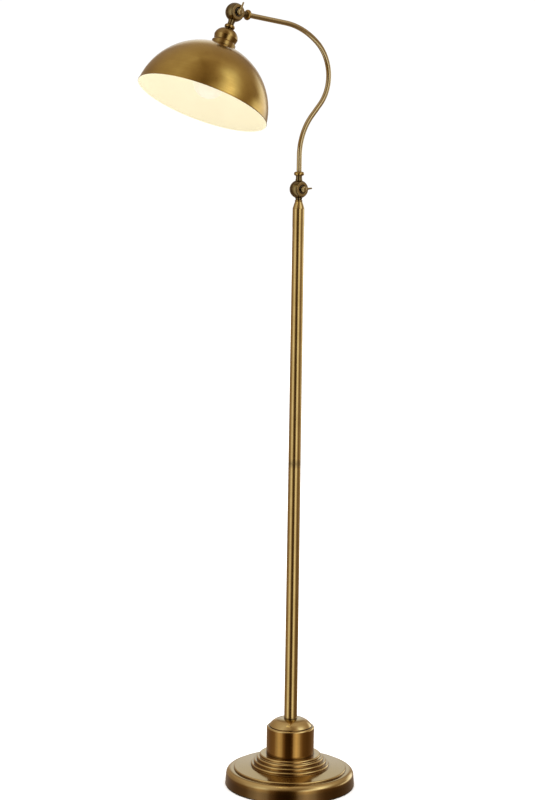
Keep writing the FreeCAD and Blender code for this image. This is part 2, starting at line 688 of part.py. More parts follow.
PARTS = {
    "base_pad": base_pad(),
    "base_weight": base_weight(),
    "base_shell": base_shell(),
    "cord_grommet": cord_grommet(),
    "base_washer": base_washer(),
    "base_lock_nut": base_lock_nut(),
    "base_nipple": base_nipple(),
    "collar_drum": collar_drum(),
    "collar_cap": collar_cap(),
    "collar_spacer": collar_spacer(),
    "pole_lower": pole_section(CAP_TOP, POLE_SEAM_Z),
    "pole_upper": pole_section(POLE_SEAM_Z, POLE_TOP),
    "pole_inserts": pole_inserts(),
    "pole_coupling_nipple": pole_coupling_nipple(),
    "pole_ferrule": pole_ferrule(),
    "ferrule_ring": ferrule_ring(),
    "pole_wire": pole_wire(),
    "lower_knuckle_pole_half": at_lower(knuckle_half(1, STUB_LENGTH)),
    "lower_friction_washer": at_lower(friction_washer()),
    "lower_knuckle_arm_half": at_lower(knuckle_half(-1, socket_radius=ARM_RADIUS), 180),
    "lower_lever_washer": at_lower(lever_washer()),
    "lower_spring_washer": at_lower(spring_washer(), -LOWER_LEVER_ANGLE),
    "lower_clamp_lever": at_lower(clamp_lever(), -LOWER_LEVER_ANGLE),
    "arm_lower_collar": at_lower(neck_collar(ARM_RADIUS), 180),
    "arm_tube": arm_tube(),
    "arm_wire": arm_wire(),
    "arm_upper_collar": at_upper(neck_collar(ARM_RADIUS), TOWARDS_ARM),
    "upper_knuckle_arm_half": at_upper(knuckle_half(1, socket_radius=ARM_RADIUS), TOWARDS_ARM),
    "upper_friction_washer": at_upper(friction_washer()),
    "upper_knuckle_shade_half": at_upper(knuckle_half(-1)),
    "upper_lever_washer": at_upper(lever_washer()),
    "upper_spring_washer": at_upper(spring_washer(), -UPPER_LEVER_ANGLE),
    "upper_clamp_lever": at_upper(clamp_lever(), -UPPER_LEVER_ANGLE),
    "head_collar": at_upper(neck_collar(THREAD_RADIUS)),
    "head_nipple": at_upper(head_nipple()),
    "head_wire": at_upper(head_wire()),
    "socket_cup": at_upper(socket_cup()),
    "holder_cap": at_upper(holder_cap()),
    "holder_sleeve": at_upper(holder_sleeve()),
    "holder_block": at_upper(holder_block()),
    "terminal_screws": at_upper(terminal_screws()),
    "screw_shell": at_upper(screw_shell()),
    "centre_contact": at_upper(centre_contact()),
    "shade_ring": at_upper(shade_ring()),
    "shade": at_upper(shade()),
    "bulb_glass": at_upper(bulb_glass()),
    "bulb_screw_cap": at_upper(bulb_screw_cap()),
    "bulb_contact": at_upper(bulb_contact()),
}

os.makedirs("parts", exist_ok=True)
for name, shape in PARTS.items():
    shape.exportStep(os.path.join("parts", name + ".step"))
    box = shape.BoundBox
    print(f"{name:26s} solids {len(shape.Solids)} valid {shape.isValid()} "
          f"volume {shape.Volume / 1000:8.2f} cm3  z {box.ZMin:8.1f} .. {box.ZMax:8.1f}")
print("upper ball", UPPER_BALL, "arm tube volume ratio",
      PARTS["arm_wire"].Volume / (math.pi * WIRE_RADIUS ** 2 * Part.Wire(ARM_EDGES).Length))
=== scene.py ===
import json
import math

import bmesh
import bpy
from mathutils import Matrix, Vector


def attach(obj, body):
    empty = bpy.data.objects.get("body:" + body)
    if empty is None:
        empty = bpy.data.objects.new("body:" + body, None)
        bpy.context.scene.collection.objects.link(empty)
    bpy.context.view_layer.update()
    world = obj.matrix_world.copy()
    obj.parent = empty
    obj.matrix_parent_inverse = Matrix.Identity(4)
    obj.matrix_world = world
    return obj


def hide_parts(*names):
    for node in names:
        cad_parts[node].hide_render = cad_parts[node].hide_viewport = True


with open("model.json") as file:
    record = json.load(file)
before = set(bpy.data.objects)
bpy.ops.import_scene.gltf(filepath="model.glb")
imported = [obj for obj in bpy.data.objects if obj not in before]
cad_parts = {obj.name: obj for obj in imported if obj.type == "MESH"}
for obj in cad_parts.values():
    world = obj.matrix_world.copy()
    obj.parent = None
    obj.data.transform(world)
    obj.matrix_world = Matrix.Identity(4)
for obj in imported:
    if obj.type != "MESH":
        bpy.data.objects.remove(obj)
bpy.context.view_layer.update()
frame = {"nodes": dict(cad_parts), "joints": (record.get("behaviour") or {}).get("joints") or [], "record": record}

# Pharmacy floor lamp in antique brass.  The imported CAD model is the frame.  The metalwork that
# shows, the enamel and the bulb are made again here, finely turned or swept and with softened
# edges, on the CAD's own axes.  The other CAD nodes only get better materials.
# Outlines are in millimetres; the frame and every object are in metres.

MM = 0.001

# ---- driving dimensions, in millimetres --------------------------------------------------------
# foot
BASE_RADIUS = 126.0
BASE_WALL_DRAFT = 1.5
BASE_WALL_TOP = 21.5
SHOULDER_RADIUS = 11.0
PAD_THICK = 2.0
SHEET = 1.2
DISC_RADIUS = 109.2
DISC_TOP = 36.4
DISC_NOSE = 2.2
TREAD_INNER_Z = 39.0
STEP_RADII = (76.0, 70.5, 65.0, 59.0)
STEP_TOPS = (44.5, 51.0, 57.0, 62.5)
STEP_NOSE = 2.2

# drum and cap
DRUM_RADIUS = 46.3
DRUM_WALL_TOP = 113.0
DRUM_LIP = (42.4, 117.2)       # radius and height where the wall's rounded lip ends
DRUM_LIP_BULGE = (1.0, 0.9)    # how far the lip's arc runs inside the wall, and above its middle
CAP_RADIUS = 41.4
CAP_RIM_Z = 118.6
CAP_TOP = 132.3
CAP_SEAT_DEPTH = 2.6
CAP_SHOULDER = (0.76, 4.2)     # share of the cap's radius, depth below its top
CAP_SHOULDER_EXTRA = 0.2       # how much thicker than the sheet the cap is there
CAP_CROWN_MARGIN = 1.0         # level ring round the pole
DRUM_FLANGE_WIDTH = 8.0

# pole and ferrule
POLE_FOOT_RADIUS = 12.7
POLE_TOP_RADIUS = 11.2
POLE_BORE = 10.0
POLE_SEAM_Z = 634.0
POLE_TOP = 1120.0
THREAD_RADIUS = 5.0
FERRULE_TOP = 1133.0
FERRULE_TOP_RADIUS = 7.0
FERRULE_BELLY = 1.9            # how far in its side is at half height
RING_THICK = 3.0
RING_RADIUS = 7.4
RING_ROUND = 1.0

# knuckles and collars
BALL_RADIUS = 17.5
SPLIT_GAP = 0.8
SPLIT_CHAMFER = 0.6
RUN_CLEAR = 0.3
NECK_ROOT_RADIUS = 6.9
NECK_RADIUS = 6.0
NECK_STRAIGHT = 20.3           # where the neck's taper ends, from the ball's centre
NECK_END = 25.0
NECK_SINK = 2.0                # how deep a neck runs into its own half of the ball
SOCKET_START = 18.6            # where the arm tube starts in its neck, from the ball's centre
FACET_Y = 11.2                 # flat on the ball under the lever
FACE_RING = (13.2, 8.8, 0.6)   # outer radius, inner radius, height above the flat
FACE_FLOOR_Y = 9.7             # floor of the well inside the ring
STUD_RADIUS = 3.0
STUD_FIT = 0.05
STUD_END_Y = 11.0
HUB_Y = 12.2
HUB_RADIUS = 6.0
HUB_HEIGHT = 6.8
HUB_DOME = (0.86, 2.0)         # share of the hub's radius, height above the dome's foot
LEVER_MIDDLE_Y = 14.7
LEVER_REACH = 20.3
LEVER_TIP_ROUND = 1.5
LEVER_ROOT_WIDTH = 5.6
LEVER_THICK = 2.2
LEVER_SQUARENESS = 0.7         # power of the blade's section; 1 is an ellipse, 0 a rectangle
LOWER_LEVER_ANGLE = 6.0        # from +X towards +Z
UPPER_LEVER_ANGLE = 64.0
COLLAR_RADIUS = 9.7
COLLAR_END = 33.0
COLLAR_LIP = 0.6
BEAD_FULLNESS = (0.8, 2.4)     # outwards from the mean radius, along from the widest ring

# bent arm
ARM_RADIUS = 4.8
ARM_WALL = 0.9
ARM_FIRST_BEND_Z = 1219.0
ARM_BEND_RADII = (114.0, 80.0, 143.0)
ARM_HEADINGS = (90.0, 48.5, 140.0, 174.0)
ARM_MIDDLE_RUN = 29.0
ARM_LAST_RUN = 118.0

# head, below the upper ball along the shade's axis
SHADE_TILT = 23.2
CUP_TOP = 33.5
CUP_CROWN_RADIUS = 7.5
CUP_SHOULDER = (0.78, 5.6)     # share of the cup's radius, depth below its top
CUP_RADIUS = 22.2
CUP_WIDEST = 49.8
CUP_BELLY = (0.9, 3.6)         # inwards and down from the widest ring
CUP_WAIST = (20.0, 58.5)
CUP_SKIRT_RADIUS = 22.4
CUP_SKIRT = (60.5, 69.2)
CUP_SKIRT_CHAMFER = 0.8
CUP_INNER_SHOULDER = (1.0, 1.2)  # inwards and down from the shoulder outside
CUP_INNER_BELLY = (1.5, 1.0)   # inwards and down from the widest ring
CUP_SEAT_RISE = 2.0            # how far the lampholder's seat runs up past the waist
DOME_RADIUS = 123.0
DOME_APEX = 67.9
DOME_DEPTH = 111.8
DOME_SHEET = 1.0
DOME_HOLE_RADIUS = 19.3
ENAMEL = 0.25                  # thickness
ENAMEL_GAP = 0.02              # keeps the enamel's skin off the metal's
RIM_ROLL = 1.3
ROLL_SPLIT = -50.0             # angle round the roll where brass and enamel meet
HOLDER_RADIUS = 18.5
HOLDER_FIT = 0.3
LAMP_CAP_RADIUS = 13.2
LAMP_CAP_END = 92.0
BULB_RADIUS = 30.0
BULB_SHOULDER = 38.0           # degrees above its widest ring, where the ball turns into the neck
BULB_FLANK_HOLLOW = 1.6
BULB_NECK_INSET = 0.6          # inside the lamp cap
BULB_CAP_LAP = 1.2
BULB_END = 169.0

# finish of the meshes
EDGE_SOFT = 0.35               # rounding of every corner of an outline
SIDE_SHARE = 0.42              # most of a side that the rounding of one corner may take
SMOOTH_TURN = 18.0             # corners that turn by fewer degrees aren't rounded
ARC_STEP = 5.0                 # degrees between points of an arc
SHARP_ANGLE = 38.0             # edges that turn by more degrees are shaded sharp
SEGMENTS = 96                  # round a turned piece, unless it has a number of its own
FOOT_SEGMENTS = 224
SHADE_SEGMENTS = 224
DRUM_SEGMENTS = 128
NECK_SEGMENTS = 72
POLE_SEGMENTS = 64
HUB_SEGMENTS = 64
ARM_SEGMENTS = 48
POLE_RINGS = 40                # along each section of the pole
ARM_RUN_PARTS = 12             # along each straight run of the arm
ARM_BEND_STEP = 2.0            # degrees between rings in the arm's bends
BLADE_STATIONS = 26
BLADE_SEGMENTS = 24

# joints of the frame
JOINT_AT = {joint["name"]: Vector(joint["pos_m"]) for joint in frame["joints"]}
LOWER_BALL = JOINT_AT["arm_tilt"]
UPPER_BALL = JOINT_AT["shade_tilt"]

# camera: where it stands, seen from the lamp's foot, and how it is aimed
CAMERA_AZIMUTH = math.radians(-38.5)
CAMERA_DISTANCE = 3.69
CAMERA_HEIGHT = 1.19
CAMERA_PITCH = math.radians(-6.7217)
CAMERA_YAW = math.radians(0.8167)
CAMERA_ROLL = math.radians(0.7993)
CAMERA_LENS = 87.49
CAMERA_SENSOR = 36.0

TOWARDS_CAMERA = Vector((math.sin(CAMERA_AZIMUTH), -math.cos(CAMERA_AZIMUTH), 0))
CAMERA_RIGHT = Vector((math.cos(CAMERA_AZIMUTH), math.sin(CAMERA_AZIMUTH), 0))


# ---- outlines ----------------------------------------------------------------------------------
def arc_points(start, middle, end):
    """Points of the circular arc from start, through any middle point, to end, without start."""
    a = Vector(start)
    c = Vector(end)
    to_b = Vector(middle) - a
    to_c = c - a
    twice = 2 * (to_b.x * to_c.y - to_b.y * to_c.x)
    across = to_c.y * to_b.length_squared - to_b.y * to_c.length_squared
    up = to_b.x * to_c.length_squared - to_c.x * to_b.length_squared
    centre = a + Vector((across, up)) / twice
    radius = (a - centre).length
    side = 1 if twice > 0 else -1

    def direction(point):
        return math.atan2(point.y - centre.y, point.x - centre.x)

    first = direction(a)
    sweep = ((direction(c) - first) * side) % math.tau
    count = max(4, math.ceil(math.degrees(sweep) / ARC_STEP))
    angles = [first + side * sweep * k / count for k in range(1, count)]
    return [centre + radius * Vector((math.cos(t), math.sin(t))) for t in angles] + [c]


def softened(points):
    """The same closed outline with each sharp corner off the axis replaced by a small rounding."""
    result = []
    for k, corner in enumerate(points):
        if corner.x == 0:
            result.append(corner)
            continue
        before = points[k - 1] - corner
        after = points[(k + 1) % len(points)] - corner
        turn = math.pi - before.angle(after)
        if turn < math.radians(SMOOTH_TURN):
            result.append(corner)
            continue
        shorter = min(before.length, after.length)
        reach = min(EDGE_SOFT * math.tan(turn / 2), SIDE_SHARE * shorter)
        start = corner + before.normalized() * reach
        end = corner + after.normalized() * reach
        for share in (0.0, 0.33, 0.67, 1.0):
            result.append(start.lerp(corner, share).lerp(corner.lerp(end, share), share))
    return result


def outline(start, *steps):
    """Closed, softened outline from corners (radius, height) and arcs (any spot on it, end)."""
    points = [Vector(start)]
    for step in steps:
        if isinstance(step[0], tuple):
            points += arc_points(points[-1], *step)
        else:
            points.append(Vector(step))
    if (points[-1] - points[0]).length < 1e-6:
        points.pop()
    return softened(points)


def quarter(radius, height, size):
    """Arc step that rounds an outer top corner (radius, height) by size, going inwards."""
    middle = size * (1 - math.sqrt(0.5))
    return ((radius - middle, height - middle), (radius - size, height))


# ---- meshes ------------------------------------------------------------------------------------
def mesh_object(name, placement, *shells):
    """Object from closed shells, shaded smooth except at edges that turn sharply."""
    vertices = []
    faces = []
    for shell_vertices, shell_faces in shells:
        first = len(vertices)
        vertices += shell_vertices
        faces += [[first + v for v in face] for face in shell_faces]
    mesh = bpy.data.meshes.new(name)
    mesh.from_pydata(vertices, [], faces)
    work = bmesh.new()
    work.from_mesh(mesh)
    bmesh.ops.recalc_face_normals(work, faces=work.faces)
    work.to_mesh(mesh)
    work.free()
    mesh.shade_smooth()
    mesh.set_sharp_from_angle(angle=math.radians(SHARP_ANGLE))
    made = bpy.data.objects.new(name, mesh)
    made.matrix_world = placement
    bpy.context.scene.collection.objects.link(made)
    weighted = made.modifiers.new("weighted_normals", "WEIGHTED_NORMAL")
    weighted.keep_sharp = True
    return made


def lathe(points, segments=SEGMENTS):
    """Shell turned about the Z axis from closed outline points in millimetres."""
    vertices = []
    rings = []
    for point in points:
        radius, height = point[0] * MM, point[1] * MM
        if radius == 0:
            rings.append([len(vertices)] * segments)
            vertices.append(Vector((0, 0, height)))
            continue
        rings.append(list(range(len(vertices), len(vertices) + segments)))
        for k in range(segments):
            angle = math.tau * k / segments
            vertices.append(Vector((radius * math.cos(angle), radius * math.sin(angle), height)))
    faces = []
    for low, high in zip(rings, rings[1:] + rings[:1]):
        for k in range(segments):
            loop = [low[k - 1], low[k], high[k], high[k - 1]]
            face = [v for i, v in enumerate(loop) if v != loop[i - 1]]
            if len(face) > 2:
                faces.append(face)
    return vertices, faces


def turned(name, points, placement, segments=SEGMENTS):
    """Object turned about the Z axis of its placement from closed outline points."""
    return mesh_object(name, placement, lathe(points, segments))


def level_object(name, placement, *shells):
    """Object at the placement whose turn is in its points, so that its own axes stay level."""
    turn = placement.to_3x3()
    turned_shells = [([turn @ vertex for vertex in vertices], faces) for vertices, faces in shells]
    return mesh_object(name, Matrix.Translation(placement.translation), *turned_shells)


def along_y(shell, side):
    """The shell with its axis laid from Z to Y, or to -Y where side is -1."""
    vertices, faces = shell
    turn = Matrix.Rotation(-side * math.pi / 2, 3, "X")
    return [turn @ vertex for vertex in vertices], faces


def band_faces(first, second, segments):
    """Faces between two rings of vertices, from the number of each ring's first vertex."""
    faces = []
    for k in range(segments):
        after = (k + 1) % segments
        faces.append([first + k, first + after, second + after, second + k])
    return faces


def swept_tube(name, path, outer, inner, segments):
    """Round tube along (point, heading) stations in the XZ plane, in millimetres and radians."""
    vertices = []
    faces = []
    for point, heading in path:
        side = Vector((-math.sin(heading), 0, math.cos(heading)))
        for radius in (outer, inner):
            for k in range(segments):
                angle = math.tau * k / segments
                offset = side * math.cos(angle) + Vector((0, 1, 0)) * math.sin(angle)
                vertices.append((point + offset * radius) * MM)
    per_station = 2 * segments
    last = (len(path) - 1) * per_station
    for here in range(0, last, per_station):
        faces += band_faces(here, here + per_station, segments)
        faces += band_faces(here + segments, here + per_station + segments, segments)
    faces += band_faces(0, segments, segments)
    faces += band_faces(last, last + segments, segments)
    return mesh_object(name, Matrix.Identity(4), (vertices, faces))


def finish_piece(piece, body, material, slot, *nodes):
    """Give a piece its material and the body that it rides on, and hide the CAD nodes that it replaces."""
    piece.data.materials.append(material)
    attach(piece, body)
    if nodes:
        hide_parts(*nodes)


# ---- placements; at a knuckle, its piece points down its own Z axis, away from the ball ---------
UPRIGHT = Matrix.Identity(4)
BACK_ALONG_ARM = math.radians(90.0 - ARM_HEADINGS[3])
AT_HEAD = Matrix.Translation(UPPER_BALL) @ Matrix.Rotation(math.radians(SHADE_TILT), 4, "Y")
AT_ARM_END = Matrix.Translation(UPPER_BALL) @ Matrix.Rotation(BACK_ALONG_ARM, 4, "Y")
AT_ARM_FOOT = Matrix.Translation(LOWER_BALL) @ Matrix.Rotation(math.pi, 4, "Y")
AT_POLE_TOP = Matrix.Translation(LOWER_BALL)


# ---- shader nodes ------------------------------------------------------------------------------
def node(tree, kind, settings=None, inputs=None):
    """Shader node with its properties set and its inputs linked or given a value."""
    made = tree.nodes.new(kind)
    for key, value in (settings or {}).items():
        setattr(made, key, value)
    for key, value in (inputs or {}).items():
        if isinstance(value, bpy.types.NodeSocket):
            tree.links.new(value, made.inputs[key])
        else:
            made.inputs[key].default_value = value
    return made


def calculate(tree, operation, first, second=0.0, clamp=False):
    settings = {"operation": operation, "use_clamp": clamp}
    return node(tree, "ShaderNodeMath", settings, {0: first, 1: second}).outputs[0]


def ranged(tree, value, low, high, new_low, new_high):
    """The value carried from low..high to new_low..new_high, and held at those ends."""
    inputs = {"Value": value, "From Min": low, "From Max": high,
              "To Min": new_low, "To Max": new_high}
    return node(tree, "ShaderNodeMapRange", inputs=inputs).outputs[0]


def blended(tree, share, first, second):
    """Colour that goes from first to second as share goes from 0 to 1."""
    made = node(tree, "ShaderNodeMix", {"data_type": "RGBA"})
    for key, value in ((0, share), (6, first), (7, second)):
        if isinstance(value, bpy.types.NodeSocket):
            tree.links.new(value, made.inputs[key])
        else:
            made.inputs[key].default_value = value
    return made.outputs[2]


def noise(tree, vector, scale, detail=3.0, roughness=0.55):
    inputs = {"Vector": vector, "Scale": scale, "Detail": detail, "Roughness": roughness}
    return node(tree, "ShaderNodeTexNoise", inputs=inputs).outputs[0]


def object_coordinates(tree):
    return node(tree, "ShaderNodeTexCoord").outputs["Object"]


def lathe_coordinates(tree, coordinates):
    """Distance from the Z axis and height, so that noise on them runs in rings round the piece."""
    parts = node(tree, "ShaderNodeSeparateXYZ", inputs={0: coordinates}).outputs
    flat = node(tree, "ShaderNodeCombineXYZ", inputs={0: parts[0], 1: parts[1]}).outputs[0]
    length = node(tree, "ShaderNodeVectorMath", {"operation": "LENGTH"}, {0: flat})
    radius = length.outputs["Value"]
    return node(tree, "ShaderNodeCombineXYZ", inputs={0: radius, 1: parts[2]}).outputs[0]


def new_material(name, **values):
    """Material with a Principled shader whose constant values are set on its own sockets."""
    made = bpy.data.materials.new(name)
    made.use_nodes = True
    tree = made.node_tree
    shader = tree.nodes["Principled BSDF"]
    for key, value in values.items():
        shader.inputs[key.replace("_", " ")].default_value = value
    return made, tree, shader


def bumped(tree, shader, height, depth_mm):
    bump = node(tree, "ShaderNodeBump", inputs={"Height": height, "Distance": depth_mm * MM})
    tree.links.new(bump.outputs[0], shader.inputs["Normal"])


# ---- materials ---------------------------------------------------------------------------------
PATINA_AND_SHADE_DARK = (0.045, 0.026, 0.011, 1)
PAINTED_EDGE_HIGHLIGHT = (0.86, 0.66, 0.28, 1)
PAINTED_LEVEL_REFLECTION = (0.35, 0.235, 0.05, 1)
RECESS = 6.0                   # corners closer than this, in millimetres, gather patina and painted shade
GRAIN_SCALE = 900.0            # noise scale of the fine grain and the lathe lines
WAVE_SCALE = 9.0               # noise scale of the slow unevenness of the tubes and the shade
RUBBED_Y = (FACET_Y - 0.4, FACET_Y + 0.2)   # where the rubbed colour starts and is full


def patina_and_shade_share(tree, height, dark_band):
    """How dark a spot is: patina in tight corners with painted shade there too, and the band's darkening, if any.
    """
    open_sky = node(tree, "ShaderNodeAmbientOcclusion", {"samples": 4}, {"Distance": RECESS * MM})
    patina_and_shade = ranged(tree, open_sky.outputs["AO"], 0.35, 0.85, 0.85, 0.0)
    if not dark_band:
        return patina_and_shade
    middle, fade_start, fade_end, share = dark_band
    distance = calculate(tree, "ABSOLUTE", calculate(tree, "SUBTRACT", height, middle * MM))
    band = ranged(tree, distance, fade_start * MM, fade_end * MM, share, 0.0)
    return calculate(tree, "MAXIMUM", patina_and_shade, band)


def with_painted_edge_highlights(tree, colour, edge_highlight):
    """The colour with a painted highlight on the rounded edges and a painted reflection tint, a little greener, on
    the level faces.
    """
    facing = node(tree, "ShaderNodeTexCoord").outputs["Normal"]
    upward = node(tree, "ShaderNodeSeparateXYZ", inputs={0: facing}).outputs[2]
    off_wall = ranged(tree, upward, 0.12, 0.45, 0.0, edge_highlight)
    level_face = ranged(tree, upward, 0.90, 0.985, 0.0, 1.0)
    edge = calculate(tree, "MULTIPLY", off_wall, calculate(tree, "SUBTRACT", 1.0, level_face))
    colour = blended(tree, edge, colour, PAINTED_EDGE_HIGHLIGHT)
    return blended(tree, level_face, colour, PAINTED_LEVEL_REFLECTION)


def brass(name, bright, toned, gloss, coat, turned_lines=0.35, lines_depth=0.008, wave_depth=0.0,
          cloud_size=60.0, dark_band=None, rubbed=None, edge_highlight=0.0):
    """Lacquered toned brass: lathe lines, cloudy toning, dark patina in the recesses with painted shade there too.

    lines_depth, wave_depth and cloud_size are in millimetres.
    dark_band is a height, the distances from it at which the darkening starts to fade and is gone,
    in millimetres, and the share of darkening within them: painted shade low on the foot's wall, a dark joint at
    the pole's seam.
    rubbed is the colour of a knuckle's raised face and lever, which hands keep bright.
    edge_highlight is how strong the painted highlight on the rounded edges between walls and level faces is; with
    it, the level faces get a painted reflection tint.
    """
    made, tree, shader = new_material(name, Metallic=1.0, Coat_Weight=coat, Coat_Roughness=0.1)
    where = object_coordinates(tree)
    along = node(tree, "ShaderNodeSeparateXYZ", inputs={0: where}).outputs
    grain = noise(tree, where, GRAIN_SCALE, 2.0, 0.5)
    lines = grain
    if turned_lines:
        lines = noise(tree, lathe_coordinates(tree, where), GRAIN_SCALE, 4.0, 0.7)
    clouds = noise(tree, where, 1 / (cloud_size * MM), 4.0, 0.6)
    patina_and_shade = patina_and_shade_share(tree, along[2], dark_band)
    cloud_share = ranged(tree, clouds, 0.35, 0.68, 0.0, 0.65)
    line_share = ranged(tree, lines, 0.35, 0.65, 0.0, turned_lines)
    toning = calculate(tree, "ADD", cloud_share, line_share, clamp=True)
    colour = blended(tree, toning, bright, toned)
    # painted highlight on the rounded edges, painted reflection tint on the level faces
    if edge_highlight:
        colour = with_painted_edge_highlights(tree, colour, edge_highlight)
    # darkening from the corners and the band: patina together with painted shade, and on the pole a dark joint
    colour = blended(tree, patina_and_shade, colour, PATINA_AND_SHADE_DARK)
    if rubbed:
        start, full = RUBBED_Y
        raised = ranged(tree, along[1], -start * MM, -full * MM, 0.0, 1.0)
        colour = blended(tree, raised, colour, rubbed)
    tree.links.new(colour, shader.inputs["Base Color"])
    rough = ranged(tree, lines, 0.3, 0.7, gloss - 0.04, gloss + 0.06)
    rough = calculate(tree, "ADD", rough, calculate(tree, "MULTIPLY", patina_and_shade, 0.05))
    tree.links.new(rough, shader.inputs["Roughness"])
    waves = noise(tree, where, WAVE_SCALE, 1.0, 0.5)
    relief = calculate(tree, "MULTIPLY", calculate(tree, "ADD", lines, grain), lines_depth)
    relief = calculate(tree, "ADD", relief, calculate(tree, "MULTIPLY", waves, wave_depth))
    bumped(tree, shader, relief, 1.0)
    return made


def plain(name, light, dark, roughness, scale, depth_mm, **values):
    """Material with a fine grain between two tones."""
    made, tree, shader = new_material(name, **values)
    grain = noise(tree, object_coordinates(tree), scale, 5.0, 0.6)
    colour = blended(tree, ranged(tree, grain, 0.35, 0.65, 0.0, 1.0), light, dark)
    rough = ranged(tree, grain, 0.3, 0.7, roughness - 0.05, roughness + 0.05)
    tree.links.new(colour, shader.inputs["Base Color"])
    tree.links.new(rough, shader.inputs["Roughness"])
    bumped(tree, shader, grain, depth_mm)
    return made


def lit_glass():
    """Frosted lamp glass, lit from inside, with a faint unevenness in the frosting."""
    made, tree, shader = new_material("lit_frosted_glass", Roughness=0.35, Emission_Strength=0.42)
    frosting = noise(tree, object_coordinates(tree), 220.0)
    glow = blended(tree, frosting, (1.0, 0.92, 0.70, 1), (1.0, 0.95, 0.76, 1))
    tree.links.new(glow, shader.inputs["Emission Color"])
    shader.inputs["Base Color"].default_value = (0.45, 0.42, 0.34, 1)
    bumped(tree, shader, frosting, 0.05)
    return made


def cream_enamel_painted_glow():
    """Cream stove enamel with a faint orange peel, and a painted glow: it emits light of its own in place of the
    lamp's light falling on it.
    """
    made, tree, shader = new_material("cream_enamel_painted_glow", Roughness=0.45, Emission_Strength=0.37)
    where = object_coordinates(tree)
    peel = noise(tree, where, 260.0, 2.0)
    clouds = noise(tree, where, 14.0)
    cream = blended(tree, clouds, (0.56, 0.51, 0.37, 1), (0.53, 0.48, 0.34, 1))
    # painted glow of the enamel
    glow = blended(tree, clouds, (1.0, 0.955, 0.72, 1), (0.98, 0.93, 0.69, 1))
    tree.links.new(cream, shader.inputs["Base Color"])
    tree.links.new(glow, shader.inputs["Emission Color"])
    bumped(tree, shader, peel, 0.04)
    return made


# light tone, dark tone, roughness, scale of the grain, depth of the grain in millimetres
PLAIN_METALS = {
    "plain_brass": ((0.72, 0.52, 0.24, 1), (0.58, 0.40, 0.17, 1), 0.3, 600.0, 0.01),
    "zinc_steel": ((0.26, 0.23, 0.19, 1), (0.16, 0.14, 0.11, 1), 0.5, 500.0, 0.01),
    "lamp_cap_metal": ((0.75, 0.74, 0.70, 1), (0.6, 0.59, 0.56, 1), 0.3, 400.0, 0.01),
}
PLAIN_MATERIALS = {
    "cast_iron": ((0.05, 0.05, 0.05, 1), (0.02, 0.02, 0.02, 1), 0.7, 300.0, 0.2),
    "felt": ((0.045, 0.055, 0.045, 1), (0.02, 0.025, 0.02, 1), 0.92, 700.0, 0.25),
    "black_rubber": ((0.03, 0.03, 0.03, 1), (0.015, 0.015, 0.015, 1), 0.6, 900.0, 0.02),
    "black_bakelite": ((0.04, 0.032, 0.026, 1), (0.02, 0.016, 0.012, 1), 0.28, 120.0, 0.005),
    "porcelain": ((0.85, 0.83, 0.78, 1), (0.78, 0.76, 0.70, 1), 0.4, 250.0, 0.02),
    "fibre": ((0.35, 0.16, 0.08, 1), (0.24, 0.10, 0.05, 1), 0.65, 500.0, 0.03),
    "wire_sheath": ((0.70, 0.68, 0.62, 1), (0.6, 0.58, 0.53, 1), 0.5, 400.0, 0.01),
}

MATERIALS = {name: plain(name, *look) for name, look in PLAIN_MATERIALS.items()}
for metal, look in PLAIN_METALS.items():
    MATERIALS[metal] = plain(metal, *look, Metallic=1.0)
MATERIALS["lamp_glass"] = lit_glass()
MATERIALS["antique_brass"] = brass("antique_brass", (0.52, 0.34, 0.09, 1), (0.30, 0.18, 0.05, 1),
                                   0.16, 0.4, cloud_size=30.0)
MATERIALS["cast_brass"] = brass("cast_brass", (0.235, 0.165, 0.058, 1), (0.085, 0.05, 0.02, 1),
                                0.17, 0.35, turned_lines=0.0, lines_depth=0.004, cloud_size=12.0,
                                rubbed=(0.52, 0.40, 0.18, 1))

# the pole, the arm, the foot and the shade each have a copy of the brass of their own, set to how that part looks;
# the copies' lighter and darker colours are painted light and shade
POLE_BRASS = brass("pole_brass", (0.66, 0.47, 0.175, 1), (0.50, 0.34, 0.11, 1), 0.18, 0.4,
                   wave_depth=0.2, dark_band=(POLE_SEAM_Z, 2, 10, 0.4))
ARM_BRASS = brass("arm_brass", (0.64, 0.50, 0.25, 1), (0.48, 0.36, 0.16, 1), 0.22, 0.5,
                  turned_lines=0.0, lines_depth=0.0, wave_depth=0.1)
# the foot's band of darkening low on its wall is painted shade; its rounded edges carry a painted highlight and
# its level faces a painted reflection tint
FOOT_BRASS = brass("foot_brass", (0.43, 0.225, 0.045, 1), (0.34, 0.175, 0.032, 1), 0.14, 0.35,
                   dark_band=(0, 16, 30, 0.65), edge_highlight=0.75)
SHADE_BRASS = brass("shade_brass", (0.62, 0.42, 0.10, 1), (0.44, 0.262, 0.05, 1), 0.19, 0.3,
                    wave_depth=0.1)
ENAMEL_MATERIAL = cream_enamel_painted_glow()

for subpart in frame["record"]["subparts"]:
    cad_node = frame["nodes"][subpart["node"]]
    cad_node.data.materials.clear()
    cad_node.data.materials.append(MATERIALS[subpart["material_slot"]])


def in_brass(piece, body, cad_node, material=MATERIALS["antique_brass"]):
    finish_piece(piece, body, material, "antique_brass", cad_node)


def in_cast_brass(piece, body, cad_node):
    finish_piece(piece, body, MATERIALS["cast_brass"], "cast_brass", cad_node)


